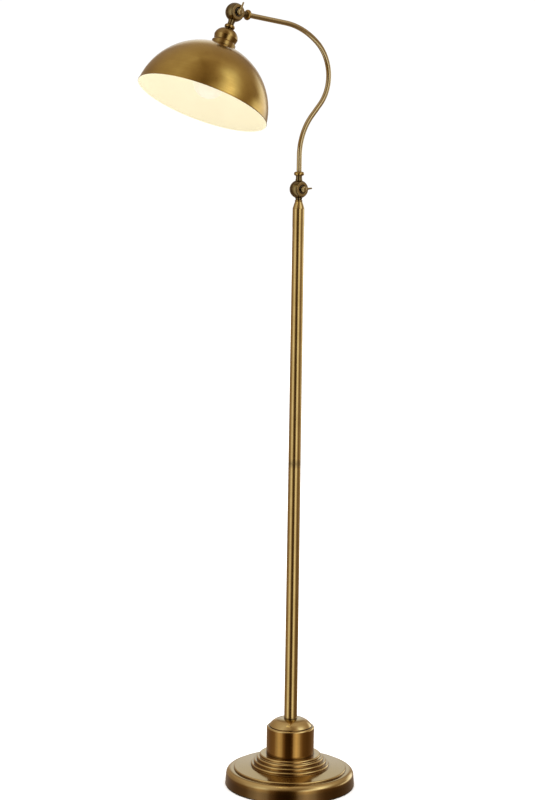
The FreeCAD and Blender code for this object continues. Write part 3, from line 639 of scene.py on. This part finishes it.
# ---- foot --------------------------------------------------------------------------------------
def base_shell():
    wall_top_radius = BASE_RADIUS - BASE_WALL_DRAFT
    shoulder_top = BASE_WALL_TOP + SHOULDER_RADIUS
    shoulder_in = wall_top_radius - SHOULDER_RADIUS
    round_mid = SHOULDER_RADIUS * math.sqrt(0.5)
    steps = [(wall_top_radius, BASE_WALL_TOP),
             ((shoulder_in + round_mid, BASE_WALL_TOP + round_mid), (shoulder_in, shoulder_top)),
             (DISC_RADIUS, shoulder_top),
             (DISC_RADIUS, DISC_TOP - DISC_NOSE),
             quarter(DISC_RADIUS, DISC_TOP, DISC_NOSE)]
    low = TREAD_INNER_Z
    for radius, top in zip(STEP_RADII, STEP_TOPS):
        steps += [(radius, low), (radius, top - STEP_NOSE), quarter(radius, top, STEP_NOSE)]
        low = top
    steps += [(THREAD_RADIUS, STEP_TOPS[-1]), (THREAD_RADIUS, STEP_TOPS[-1] - SHEET),
              (STEP_RADII[-1] - 2 * SHEET, STEP_TOPS[-1] - SHEET),
              (STEP_RADII[0] - 2 * SHEET, TREAD_INNER_Z - SHEET),
              (DISC_RADIUS - DISC_NOSE, shoulder_top - SHEET),
              (shoulder_in, shoulder_top - SHEET),
              (wall_top_radius - 2 * SHEET, BASE_WALL_TOP),
              (BASE_RADIUS - SHEET, PAD_THICK)]
    points = outline((BASE_RADIUS, PAD_THICK), *steps)
    shell = turned("foot_shell", points, UPRIGHT, FOOT_SEGMENTS)
    in_brass(shell, "stand", "base_shell", FOOT_BRASS)


def collar_drum():
    low = STEP_TOPS[-1]
    bulge_in, bulge_up = DRUM_LIP_BULGE
    middle = (DRUM_RADIUS - bulge_in, (DRUM_WALL_TOP + DRUM_LIP[1]) / 2 + bulge_up)
    seat = CAP_RIM_Z - CAP_SEAT_DEPTH
    inner = CAP_RADIUS - DRUM_FLANGE_WIDTH
    points = outline((DRUM_RADIUS, low), (DRUM_RADIUS, DRUM_WALL_TOP), (middle, DRUM_LIP),
                     (DRUM_LIP[0], seat), (inner, seat), (inner, seat - SHEET),
                     (DRUM_RADIUS - 3 * SHEET, seat - SHEET),
                     (DRUM_RADIUS - SHEET, DRUM_WALL_TOP - 1),
                     (DRUM_RADIUS - SHEET, low + SHEET), (inner, low + SHEET), (inner, low))
    drum = turned("drum", points, UPRIGHT, DRUM_SEGMENTS)
    in_brass(drum, "stand", "collar_drum", FOOT_BRASS)


def collar_cap():
    seat = CAP_RIM_Z - CAP_SEAT_DEPTH
    crown = POLE_FOOT_RADIUS + CAP_CROWN_MARGIN
    radius_share, depth = CAP_SHOULDER
    shoulder = (CAP_RADIUS * radius_share, CAP_TOP - depth)
    inner_shoulder = (shoulder[0] - SHEET / 2, shoulder[1] - SHEET - CAP_SHOULDER_EXTRA)
    points = outline((CAP_RADIUS, seat), (CAP_RADIUS, CAP_RIM_Z), (shoulder, (crown, CAP_TOP)),
                     (THREAD_RADIUS, CAP_TOP), (THREAD_RADIUS, CAP_TOP - SHEET),
                     (crown, CAP_TOP - SHEET), (inner_shoulder, (CAP_RADIUS - SHEET, CAP_RIM_Z)),
                     (CAP_RADIUS - SHEET, seat))
    cap = turned("drum_cap", points, UPRIGHT, DRUM_SEGMENTS)
    in_brass(cap, "stand", "collar_cap", FOOT_BRASS)


# ---- pole --------------------------------------------------------------------------------------
def pole_radius(z):
    """Outer radius of the tapering pole at a height."""
    share = (z - CAP_TOP) / (POLE_TOP - CAP_TOP)
    return POLE_FOOT_RADIUS + (POLE_TOP_RADIUS - POLE_FOOT_RADIUS) * share


def pole_section(name, low, high, cad_node):
    heights = [low + (high - low) * k / POLE_RINGS for k in range(POLE_RINGS + 1)]
    outside = [(pole_radius(z), z) for z in heights]
    points = outline(*outside, (POLE_BORE, high), (POLE_BORE, low))
    in_brass(turned(name, points, UPRIGHT, POLE_SEGMENTS), "stand", cad_node, POLE_BRASS)


def pole_ferrule():
    middle = (POLE_TOP_RADIUS - FERRULE_BELLY, (POLE_TOP + FERRULE_TOP) / 2)
    points = outline((THREAD_RADIUS, POLE_TOP), (POLE_TOP_RADIUS, POLE_TOP),
                     (middle, (FERRULE_TOP_RADIUS, FERRULE_TOP)), (THREAD_RADIUS, FERRULE_TOP))
    in_brass(turned("ferrule", points, UPRIGHT), "stand", "pole_ferrule", POLE_BRASS)


def ferrule_ring():
    top = FERRULE_TOP + RING_THICK
    middle = FERRULE_TOP + RING_THICK / 2
    flat = RING_RADIUS - RING_ROUND
    points = outline((THREAD_RADIUS, FERRULE_TOP), (flat, FERRULE_TOP),
                     ((RING_RADIUS, middle), (flat, top)), (THREAD_RADIUS, top))
    in_brass(turned("ring_under_knuckle", points, UPRIGHT), "stand", "ferrule_ring")


# ---- knuckles, made round their own centre with the neck pointing down --------------------------
def ball_point(height):
    """(radius, height) of a spot on the ball's surface."""
    return (math.sqrt(BALL_RADIUS ** 2 - height ** 2), height)


def half_ball(side):
    """Turned half of a ball: the nut half for side +1, the half with the lever's face for -1."""
    split = SPLIT_GAP / 2
    hole = STUD_RADIUS + STUD_FIT
    if side > 0:
        end = [(ball_point(BALL_RADIUS * 0.7), (0.0, BALL_RADIUS)),
               (0.0, STUD_END_Y), (hole, STUD_END_Y)]
    else:
        outer, inner, height = FACE_RING
        end = [(ball_point(FACET_Y * 0.6), ball_point(FACET_Y)), (outer, FACET_Y),
               (outer, FACET_Y + height), (inner, FACET_Y + height), (inner, FACE_FLOOR_Y),
               (hole, FACE_FLOOR_Y)]
    points = outline((hole, split), (BALL_RADIUS - SPLIT_CHAMFER, split),
                     ball_point(split + SPLIT_CHAMFER), *end)
    return along_y(lathe(points), side)


def neck(side, neck_end):
    """Neck that grows out of its own half and stays clear of the other half."""
    head = [(0, 0), (NECK_ROOT_RADIUS / 2, 0), (NECK_ROOT_RADIUS, 0)]
    foot = [(NECK_RADIUS, -NECK_STRAIGHT), (NECK_RADIUS, -neck_end), (0, -neck_end)]
    vertices, faces = lathe(head + foot, NECK_SEGMENTS)
    for vertex in vertices:
        if vertex.z == 0:
            in_own_half = vertex.y * side > SPLIT_GAP / 2 * MM
            reach = (BALL_RADIUS - NECK_SINK if in_own_half else BALL_RADIUS + RUN_CLEAR) * MM
            vertex.z = -math.sqrt(reach ** 2 - vertex.x ** 2 - vertex.y ** 2)
    return vertices, faces


def knuckle_half(name, side, placement, body, cad_node, neck_end=NECK_END):
    piece = level_object(name, placement, half_ball(side), neck(side, neck_end))
    in_cast_brass(piece, body, cad_node)


def squared_off(share):
    """Sine or cosine made fuller, so that a section made with it is squarer than an ellipse."""
    return math.copysign(abs(share) ** LEVER_SQUARENESS, share)


def lever_blade():
    """Tapered blade with soft edges and a round tip, pointing to +X in front of the hub."""
    tip_start = LEVER_REACH - LEVER_TIP_ROUND
    vertices = []
    for station in range(BLADE_STATIONS):
        x = LEVER_REACH * math.sin(math.pi / 2 * station / BLADE_STATIONS)
        taper = min(1.0, x / tip_start)
        into_tip = max(0.0, (x - tip_start) / LEVER_TIP_ROUND)
        rounding = math.sqrt(1 - into_tip ** 2)
        half_width = (LEVER_ROOT_WIDTH / 2 * (1 - taper) + LEVER_TIP_ROUND * taper) * rounding
        half_thick = LEVER_THICK / 2 * math.sqrt(rounding)
        for k in range(BLADE_SEGMENTS):
            turn = math.tau * k / BLADE_SEGMENTS
            y = -LEVER_MIDDLE_Y + half_thick * squared_off(math.sin(turn))
            z = half_width * squared_off(math.cos(turn))
            vertices.append(Vector((x, y, z)) * MM)
    last = (BLADE_STATIONS - 1) * BLADE_SEGMENTS
    faces = [list(range(BLADE_SEGMENTS)), [last + k for k in range(BLADE_SEGMENTS)]]
    for first in range(0, last, BLADE_SEGMENTS):
        faces += band_faces(first, first + BLADE_SEGMENTS, BLADE_SEGMENTS)
    return vertices, faces


def clamp_lever(name, angle, ball, body, cad_node):
    """Stud, domed hub and blade of a clamping lever."""
    hub_end = HUB_Y + HUB_HEIGHT
    dome_foot = hub_end - HUB_RADIUS / 2
    radius_share, rise = HUB_DOME
    shoulder = (HUB_RADIUS * radius_share, dome_foot + rise)
    hub = outline((0.0, 0.0), (STUD_RADIUS, 0.0), (STUD_RADIUS, HUB_Y), (HUB_RADIUS, HUB_Y),
                  (HUB_RADIUS, dome_foot), (shoulder, (HUB_RADIUS / 2, hub_end)), (0.0, hub_end))
    placement = Matrix.Translation(ball) @ Matrix.Rotation(-math.radians(angle), 4, "Y")
    hub_shell = along_y(lathe(hub, HUB_SEGMENTS), -1)
    in_cast_brass(level_object(name, placement, hub_shell, lever_blade()), body, cad_node)


# ---- arm ---------------------------------------------------------------------------------------
def arm_stations():
    """(point, heading) along the arm's centre line, in millimetres and radians."""
    start = Vector((0, 0, LOWER_BALL.z / MM + SOCKET_START))
    headings = [math.radians(h) for h in ARM_HEADINGS]
    stations = [(start, headings[0])]

    def run(length):
        here, heading = stations[-1]
        step = Vector((math.cos(heading), 0, math.sin(heading))) * (length / ARM_RUN_PARTS)
        stations.extend((here + step * k, heading) for k in range(1, ARM_RUN_PARTS + 1))

    def bend(radius, after):
        here, before = stations[-1]
        side = 1 if after > before else -1
        across = Vector((math.sin(before), 0, -math.cos(before)))
        centre = here - across * radius * side
        parts = math.ceil(math.degrees(abs(after - before)) / ARM_BEND_STEP)
        for k in range(1, parts + 1):
            heading = before + (after - before) * k / parts
            across = Vector((math.sin(heading), 0, -math.cos(heading)))
            stations.append((centre + across * radius * side, heading))

    run(ARM_FIRST_BEND_Z - start.z)
    bend(ARM_BEND_RADII[0], headings[1])
    run(ARM_MIDDLE_RUN)
    bend(ARM_BEND_RADII[1], headings[2])
    bend(ARM_BEND_RADII[2], headings[3])
    run(ARM_LAST_RUN - SOCKET_START)
    return stations


def arm_tube():
    inner = ARM_RADIUS - ARM_WALL
    piece = swept_tube("bent_arm", arm_stations(), ARM_RADIUS, inner, ARM_SEGMENTS)
    in_brass(piece, "arm", "arm_tube", ARM_BRASS)


def neck_collar(name, bore, placement, body, cad_node):
    """Round bead of a collar screwed against a neck."""
    end_radius = NECK_RADIUS + COLLAR_LIP
    widest = -(NECK_END + COLLAR_END) / 2
    outwards, along = BEAD_FULLNESS
    middle = (COLLAR_RADIUS + end_radius) / 2 + outwards
    points = outline((bore, -NECK_END), (end_radius, -NECK_END),
                     ((middle, widest + along), (COLLAR_RADIUS, widest)),
                     ((middle, widest - along), (end_radius, -COLLAR_END)), (bore, -COLLAR_END))
    in_brass(turned(name, points, placement), body, cad_node)


# ---- head --------------------------------------------------------------------------------------
def socket_cup():
    skirt_low = -CUP_SKIRT[1]
    skirt_high = -CUP_SKIRT[0]
    skirt_flat = CUP_SKIRT_RADIUS - CUP_SKIRT_CHAMFER
    waist = (CUP_WAIST[0], -CUP_WAIST[1])
    shoulder = (CUP_RADIUS * CUP_SHOULDER[0], -CUP_TOP - CUP_SHOULDER[1])
    belly = (CUP_RADIUS - CUP_BELLY[0], -CUP_WIDEST - CUP_BELLY[1])
    inner_shoulder = (shoulder[0] - CUP_INNER_SHOULDER[0], shoulder[1] - CUP_INNER_SHOULDER[1])
    inner_belly = (CUP_RADIUS - CUP_INNER_BELLY[0], -CUP_WIDEST - CUP_INNER_BELLY[1])
    seat = HOLDER_RADIUS + HOLDER_FIT
    points = outline((THREAD_RADIUS, -CUP_TOP), (CUP_CROWN_RADIUS, -CUP_TOP),
                     (shoulder, (CUP_RADIUS, -CUP_WIDEST)), (belly, waist),
                     (skirt_flat, skirt_high), (CUP_SKIRT_RADIUS, skirt_high - CUP_SKIRT_CHAMFER),
                     (CUP_SKIRT_RADIUS, skirt_low + CUP_SKIRT_CHAMFER), (skirt_flat, skirt_low),
                     (seat, skirt_low), (seat, waist[1] + CUP_SEAT_RISE),
                     inner_belly, (CUP_RADIUS - SHEET, -CUP_WIDEST),
                     (inner_shoulder, (CUP_CROWN_RADIUS, -CUP_TOP - SHEET)),
                     (THREAD_RADIUS, -CUP_TOP - SHEET))
    in_brass(turned("socket_bell", points, AT_HEAD), "head", "socket_cup")


DOME_CENTRE = -(DOME_APEX + DOME_RADIUS)
DOME_RIM = -(DOME_APEX + DOME_DEPTH)


def dome_point(radius, height):
    """(distance from the axis, height) of a spot on a sphere of the radius about DOME_CENTRE."""
    return (math.sqrt(radius ** 2 - (height - DOME_CENTRE) ** 2), height)


def dome_hole_point(radius):
    """Where a sphere of the radius meets the hole for the lampholder."""
    return (DOME_HOLE_RADIUS, DOME_CENTRE + math.sqrt(radius ** 2 - DOME_HOLE_RADIUS ** 2))


def dome_layer(name, outer, inner):
    """Dome between two radii, open at the hole and at the rim."""
    middle = -(DOME_APEX + DOME_DEPTH * 0.3)
    points = outline(dome_hole_point(outer),
                     (dome_point(outer, middle), dome_point(outer, DOME_RIM)),
                     dome_point(inner, DOME_RIM),
                     (dome_point(inner, middle), dome_hole_point(inner)))
    return turned(name, points, AT_HEAD, SHADE_SEGMENTS)


def rim_roll(name, first, last):
    """Part of the round roll on the rim, between two angles in degrees; 0 points outwards."""
    radius = dome_point(DOME_RADIUS - DOME_SHEET / 2, DOME_RIM)[0]

    def at(degrees):
        turn = math.radians(degrees)
        return (radius + RIM_ROLL * math.cos(turn), DOME_RIM + RIM_ROLL * math.sin(turn))

    points = outline(at(first), (at((first + last) / 2), at(last)))
    return turned(name, points, AT_HEAD, SHADE_SEGMENTS)


def shade():
    """Brass dome and roll outside, enamel skins of their own inside."""
    brass_inner = DOME_RADIUS - DOME_SHEET + ENAMEL
    in_brass(dome_layer("shade_brass", DOME_RADIUS, brass_inner), "head", "shade", SHADE_BRASS)
    roll = rim_roll("shade_rim", ROLL_SPLIT, 90)
    finish_piece(roll, "head", SHADE_BRASS, "antique_brass")
    skin = dome_layer("shade_enamel", brass_inner - ENAMEL_GAP, DOME_RADIUS - DOME_SHEET)
    for piece in (skin, rim_roll("rim_enamel", 90, 360 + ROLL_SPLIT)):
        piece.data.materials.append(ENAMEL_MATERIAL)
        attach(piece, "head")


def bulb():
    """Round lamp whose neck ends inside the lamp cap."""
    centre = -BULB_END + BULB_RADIUS
    neck = (LAMP_CAP_RADIUS - BULB_NECK_INSET, -LAMP_CAP_END + BULB_CAP_LAP)

    def ball_spot(degrees):
        turn = math.radians(degrees)
        return (BULB_RADIUS * math.cos(turn), centre + BULB_RADIUS * math.sin(turn))

    shoulder = ball_spot(BULB_SHOULDER)
    flank = ((shoulder[0] + neck[0]) / 2 - BULB_FLANK_HOLLOW, (shoulder[1] + neck[1]) / 2)
    points = outline((0.0, -BULB_END), (ball_spot(-40), ball_spot(0)), (ball_spot(20), shoulder),
                     (flank, neck), (0.0, neck[1]))
    piece = turned("bulb", points, AT_HEAD)
    finish_piece(piece, "head", MATERIALS["lamp_glass"], "lamp_glass", "bulb_glass")


base_shell()
collar_drum()
collar_cap()
pole_section("pole_lower_tube", CAP_TOP, POLE_SEAM_Z, "pole_lower")
pole_section("pole_upper_tube", POLE_SEAM_Z, POLE_TOP, "pole_upper")
pole_ferrule()
ferrule_ring()
knuckle_half("knuckle_pole_half", 1, AT_POLE_TOP, "stand", "lower_knuckle_pole_half",
             LOWER_BALL.z / MM - FERRULE_TOP - RING_THICK)
knuckle_half("knuckle_arm_foot_half", -1, AT_ARM_FOOT, "arm", "lower_knuckle_arm_half")
knuckle_half("knuckle_arm_end_half", 1, AT_ARM_END, "arm", "upper_knuckle_arm_half")
knuckle_half("knuckle_shade_half", -1, AT_HEAD, "head", "upper_knuckle_shade_half")
clamp_lever("lever_lower", LOWER_LEVER_ANGLE, LOWER_BALL, "lower_lever", "lower_clamp_lever")
clamp_lever("lever_upper", UPPER_LEVER_ANGLE, UPPER_BALL, "upper_lever", "upper_clamp_lever")
arm_tube()
neck_collar("collar_arm_foot", ARM_RADIUS, AT_ARM_FOOT, "arm", "arm_lower_collar")
neck_collar("collar_arm_end", ARM_RADIUS, AT_ARM_END, "arm", "arm_upper_collar")
neck_collar("collar_head", THREAD_RADIUS, AT_HEAD, "head", "head_collar")
socket_cup()
shade()
bulb()


# ---- studio ------------------------------------------------------------------------------------
FLOOR_REACH = 30.0             # metres each way
BACKGROUND_LEVEL = 1.05
DIM_TINT = (1.0, 0.62, 0.30, 1)
WHITE = (1.0, 1.0, 1.0, 1)
OVERHEAD_SPREAD = math.radians(110)
OVERHEAD_STRENGTH = 4.0


def studio_floor():
    """White floor, which the brass doesn't reflect."""
    mesh = bpy.data.meshes.new("floor")
    signs = ((-1, -1), (1, -1), (1, 1), (-1, 1))
    corners = [(x * FLOOR_REACH, y * FLOOR_REACH, 0) for x, y in signs]
    mesh.from_pydata(corners, [], [(0, 1, 2, 3)])
    floor = bpy.data.objects.new("floor", mesh)
    bpy.context.scene.collection.objects.link(floor)
    white = plain("floor_white", (0.92, 0.92, 0.92, 1), (0.90, 0.90, 0.90, 1), 0.9, 3.0, 0.0)
    floor.data.materials.append(white)
    floor.visible_glossy = False


def angle_ramp(tree, value, stops):
    """Brightness by angle, from (degrees, brightness) stops between -180 and 180 degrees."""
    share = ranged(tree, value, -math.pi, math.pi, 0.0, 1.0)
    ramp = node(tree, "ShaderNodeValToRGB", inputs={0: share})
    ramp.color_ramp.interpolation = "EASE"
    elements = ramp.color_ramp.elements
    while len(elements) < len(stops):
        elements.new(0.5)
    for element, (degrees, bright) in zip(elements, stops):
        element.position = (degrees + 180) / 360
        element.color = (bright, bright, bright, 1)
    return ramp.outputs[0]


# brightness of the studio round the lamp, for rising elevations in degrees, by the angle round
# the lamp: 0 is the camera's side, positive is its right
STUDIO_BANDS = (
    (-12, ((-180, 0.35), (-110, 0.28), (-85, 0.35), (-70, 0.75), (-56, 1.2), (-44, 0.9),
           (-32, 0.3), (-20, 0.07), (0, 0.05), (10, 0.12), (18, 0.85), (30, 1.35), (42, 0.95),
           (54, 0.4), (68, 0.2), (90, 0.15), (150, 0.3), (180, 0.35))),
    (2, ((-180, 0.5), (-160, 0.35), (-130, 0.35), (-95, 0.4), (-75, 0.7), (-56, 1.2),
         (-44, 1.0), (-32, 0.35), (-18, 0.1), (0, 0.06), (10, 0.15), (20, 1.0), (30, 1.6),
         (45, 0.7), (60, 0.3), (85, 0.35), (98, 0.8), (108, 1.5), (143, 1.5), (160, 0.35),
         (180, 0.5))),
    (12, ((-180, 1.0), (-172, 0.85), (-160, 0.35), (-130, 0.3), (-95, 0.4), (-75, 0.65),
          (-56, 1.2), (-44, 0.9), (-32, 0.35), (-18, 0.12), (0, 0.07), (10, 0.15), (20, 0.9),
          (32, 1.7), (46, 1.0), (60, 0.4), (85, 0.3), (120, 0.3), (134, 1.0), (145, 1.3),
          (160, 0.35), (172, 0.85), (180, 1.0))),
    (26, ((-180, 1.1), (-172, 0.9), (-160, 0.35), (-110, 0.35), (-75, 0.6), (-50, 0.95),
          (-35, 0.5), (-15, 0.2), (0, 0.13), (15, 0.3), (30, 0.9), (45, 1.3), (60, 1.8),
          (72, 1.0), (85, 0.45), (100, 0.35), (160, 0.35), (172, 0.9), (180, 1.1))),
    (45, ((-180, 0.45), (-133, 0.45), (-93, 0.5), (-60, 0.65), (-35, 0.55), (-10, 0.28),
          (15, 0.2), (36, 0.28), (52, 0.6), (70, 1.3), (85, 1.0), (100, 0.6), (125, 0.4),
          (180, 0.45))),
    (68, ((-180, 0.45), (-70, 0.6), (-20, 0.42), (23, 0.28), (60, 0.38), (110, 0.5),
          (180, 0.45))))


def studio_world():
    """White for the camera; for the lamp, a warm dim room with soft boxes and a pale backdrop."""
    world = bpy.data.worlds.new("studio")
    bpy.context.scene.world = world
    world.use_nodes = True
    tree = world.node_tree
    tree.nodes.clear()
    direction = node(tree, "ShaderNodeTexCoord").outputs["Generated"]

    def along(axis):
        settings = {"operation": "DOT_PRODUCT"}
        made = node(tree, "ShaderNodeVectorMath", settings, {0: direction, 1: axis})
        return made.outputs["Value"]

    angle = calculate(tree, "ARCTAN2", along(CAMERA_RIGHT), along(TOWARDS_CAMERA))
    elevation = calculate(tree, "ARCSINE", along(Vector((0, 0, 1))))
    bands = [(math.radians(degrees), angle_ramp(tree, angle, stops))
             for degrees, stops in STUDIO_BANDS]
    below, level = bands[0]
    for here, band in bands[1:]:
        share = ranged(tree, elevation, below, here, 0.0, 1.0)
        level = blended(tree, share, level, band)
        below = here
    tint = blended(tree, ranged(tree, level, 0.05, 0.8, 0.0, 1.0), DIM_TINT, WHITE)
    room = node(tree, "ShaderNodeBackground", inputs={"Color": tint, "Strength": level})
    white = node(tree, "ShaderNodeBackground",
                 inputs={"Color": WHITE, "Strength": BACKGROUND_LEVEL})
    seen = node(tree, "ShaderNodeLightPath").outputs["Is Camera Ray"]
    shaders = {0: seen, 1: room.outputs[0], 2: white.outputs[0]}
    mixed = node(tree, "ShaderNodeMixShader", inputs=shaders)
    node(tree, "ShaderNodeOutputWorld", inputs={0: mixed.outputs[0]})


def overhead_light():
    """Very wide, soft light from above; it whitens the floor and doesn't show in the brass."""
    data = bpy.data.lights.new("overhead_light", "SUN")
    data.angle = OVERHEAD_SPREAD
    data.energy = OVERHEAD_STRENGTH
    lamp = bpy.data.objects.new("overhead_light", data)
    lamp.visible_glossy = False
    bpy.context.scene.collection.objects.link(lamp)


def studio_camera():
    data = bpy.data.cameras.new("camera")
    data.lens = CAMERA_LENS
    data.sensor_width = CAMERA_SENSOR
    camera = bpy.data.objects.new("camera", data)
    bpy.context.scene.collection.objects.link(camera)
    up = Vector((0, 0, 1))
    ahead = -TOWARDS_CAMERA
    turned_ahead = ahead * math.cos(CAMERA_YAW) - CAMERA_RIGHT * math.sin(CAMERA_YAW)
    turned_right = CAMERA_RIGHT * math.cos(CAMERA_YAW) + ahead * math.sin(CAMERA_YAW)
    view = turned_ahead * math.cos(CAMERA_PITCH) + up * math.sin(CAMERA_PITCH)
    view_up = up * math.cos(CAMERA_PITCH) - turned_ahead * math.sin(CAMERA_PITCH)
    right = turned_right * math.cos(CAMERA_ROLL) + view_up * math.sin(CAMERA_ROLL)
    top = view_up * math.cos(CAMERA_ROLL) - turned_right * math.sin(CAMERA_ROLL)
    place = TOWARDS_CAMERA * CAMERA_DISTANCE + Vector((0, 0, CAMERA_HEIGHT))
    turn = Matrix((right, top, -view)).transposed().to_4x4()
    camera.matrix_world = Matrix.Translation(place) @ turn
    bpy.context.scene.camera = camera


studio_floor()
studio_world()
overhead_light()
studio_camera()
bpy.context.scene.view_settings.view_transform = "Standard"
